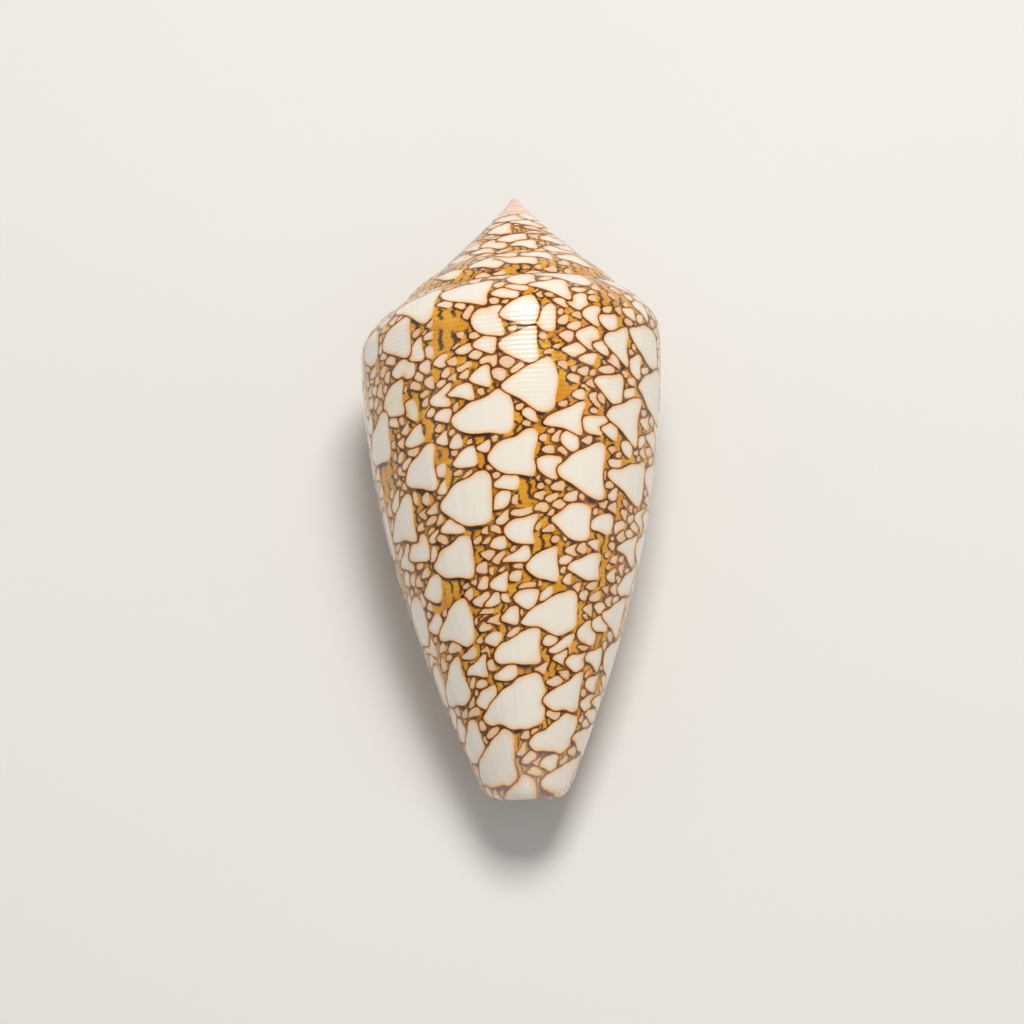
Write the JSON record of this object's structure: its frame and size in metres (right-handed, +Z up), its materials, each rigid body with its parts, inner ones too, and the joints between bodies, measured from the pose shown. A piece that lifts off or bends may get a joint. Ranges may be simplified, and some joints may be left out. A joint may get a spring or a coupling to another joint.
{
  "type": "cone shell",
  "caption": "Cone-shaped sea snail shell with a low conical spire, a rounded shoulder and a long tapering body turn with a narrow aperture slit, lying on its aperture.",
  "frame": {"origin": "bottom centre of the bounding box of the lying shell, on the surface it rests on", "axes": "+Z up; +Y towards the tip of the spire, whose axis rises 8.5 degrees above the surface; the lip is on the -X side, underneath"},
  "size_m": [0.0356, 0.0738, 0.0341],
  "materials": {
    "shell": "glossy cream-white tents outlined in brown on ochre, pink tip and base, white aperture"
  },
  "bodies": {
    "root": {"shell": "shell"}
  },
  "joints": []
}
